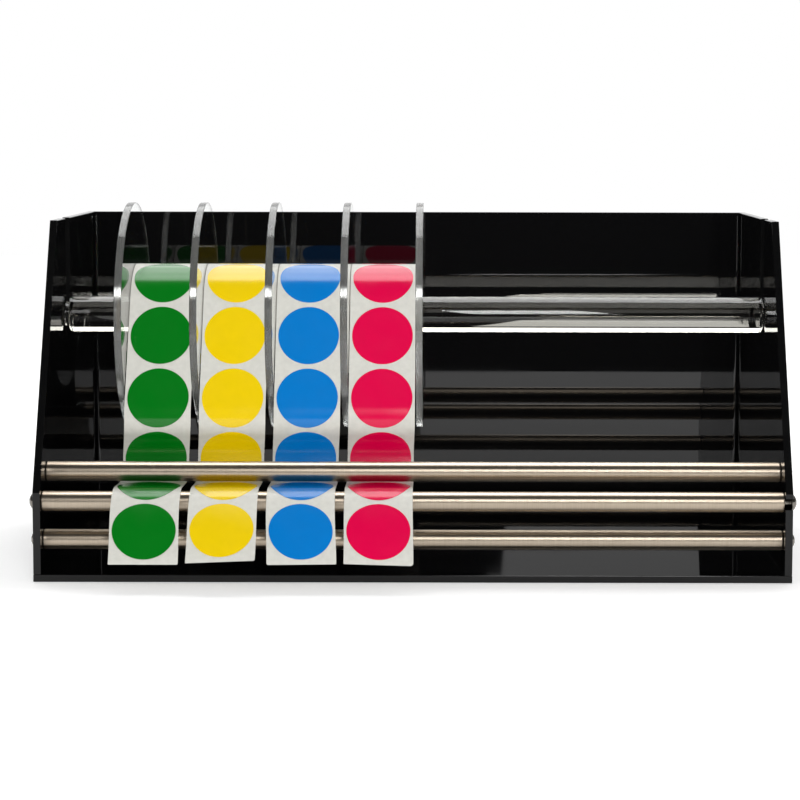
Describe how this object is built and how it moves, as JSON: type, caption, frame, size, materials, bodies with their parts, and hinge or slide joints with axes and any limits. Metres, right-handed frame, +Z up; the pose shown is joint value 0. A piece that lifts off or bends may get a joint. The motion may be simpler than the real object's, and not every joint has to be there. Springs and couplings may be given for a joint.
{
  "type": "label dispenser",
  "caption": "Bench-top label dispenser: black acrylic stand, steel guide rods, and a lift-out clear spindle carrying rolls of round labels between clear divider discs.",
  "frame": {"origin": "middle of the base panel's underside, on the table", "axes": "+X along the spindle to the user's right, +Y from the front to the back, +Z up"},
  "size_m": [0.3091, 0.1682, 0.1476],
  "materials": {
    "black_acrylic": "polished cast sheet, mirror gloss",
    "clear_acrylic": "polished, transparent",
    "polished_steel": "ground and polished bar, fine marks round it",
    "screw_steel": "polished stainless button heads",
    "liner_paper": "smooth release paper, faint sheen",
    "core_card": "matt grey-brown board",
    "green_labels": "gloss coated paper",
    "yellow_labels": "gloss coated paper",
    "blue_labels": "gloss coated paper",
    "red_labels": "gloss coated paper"
  },
  "bodies": {
    "stand": {"base_panel": "black_acrylic", "left_side_panel": "black_acrylic", "right_side_panel": "black_acrylic", "back_panel": "black_acrylic", "upper_guide_rod": "polished_steel", "front_guide_rod": "polished_steel", "lower_guide_rod": "polished_steel", "left_rod_screws": "screw_steel", "right_rod_screws": "screw_steel", "green_tape": "liner_paper", "green_tape_labels": "green_labels", "yellow_tape": "liner_paper", "yellow_tape_labels": "yellow_labels", "blue_tape": "liner_paper", "blue_tape_labels": "blue_labels", "red_tape": "liner_paper", "red_tape_labels": "red_labels"},
    "spindle": {"spindle_rod": "clear_acrylic"},
    "disc_1": {"divider_disc_1": "clear_acrylic"},
    "disc_2": {"divider_disc_2": "clear_acrylic"},
    "disc_3": {"divider_disc_3": "clear_acrylic"},
    "disc_4": {"divider_disc_4": "clear_acrylic"},
    "disc_5": {"divider_disc_5": "clear_acrylic"},
    "green_reel": {"green_core": "core_card", "green_roll": "liner_paper", "green_roll_labels": "green_labels"},
    "yellow_reel": {"yellow_core": "core_card", "yellow_roll": "liner_paper", "yellow_roll_labels": "yellow_labels"},
    "blue_reel": {"blue_core": "core_card", "blue_roll": "liner_paper", "blue_roll_labels": "blue_labels"},
    "red_reel": {"red_core": "core_card", "red_roll": "liner_paper", "red_roll_labels": "red_labels"}
  },
  "joints": [
    {"name": "spindle_lift", "type": "slide", "parent": "stand", "child": "spindle", "axis": [0, 0, 1], "range_m": [0, 0.046], "deforming": ["green_tape", "green_tape_labels", "yellow_tape", "yellow_tape_labels", "blue_tape", "blue_tape_labels", "red_tape", "red_tape_labels"]},
    {"name": "disc_1_slide", "type": "slide", "parent": "spindle", "child": "disc_1", "axis": [1, 0, 0], "range_m": [-0.0245, 0]},
    {"name": "disc_2_spin", "type": "hinge", "parent": "spindle", "child": "disc_2", "pos_m": [-0.0891, -0.002, 0.1001], "axis": [1, 0, 0], "continuous": true},
    {"name": "disc_3_spin", "type": "hinge", "parent": "spindle", "child": "disc_3", "pos_m": [-0.0587, -0.002, 0.1001], "axis": [1, 0, 0], "continuous": true},
    {"name": "disc_4_spin", "type": "hinge", "parent": "spindle", "child": "disc_4", "pos_m": [-0.0283, -0.002, 0.1001], "axis": [1, 0, 0], "continuous": true},
    {"name": "disc_5_slide", "type": "slide", "parent": "spindle", "child": "disc_5", "axis": [1, 0, 0], "range_m": [0, 0.142]},
    {"name": "green_reel_spin", "type": "hinge", "parent": "spindle", "child": "green_reel", "pos_m": [-0.1043, -0.002, 0.09835], "axis": [1, 0, 0], "continuous": true},
    {"name": "yellow_reel_spin", "type": "hinge", "parent": "spindle", "child": "yellow_reel", "pos_m": [-0.0739, -0.002, 0.09835], "axis": [1, 0, 0], "continuous": true},
    {"name": "blue_reel_spin", "type": "hinge", "parent": "spindle", "child": "blue_reel", "pos_m": [-0.0435, -0.002, 0.09835], "axis": [1, 0, 0], "continuous": true},
    {"name": "red_reel_spin", "type": "hinge", "parent": "spindle", "child": "red_reel", "pos_m": [-0.0131, -0.002, 0.09835], "axis": [1, 0, 0], "continuous": true}
  ]
}
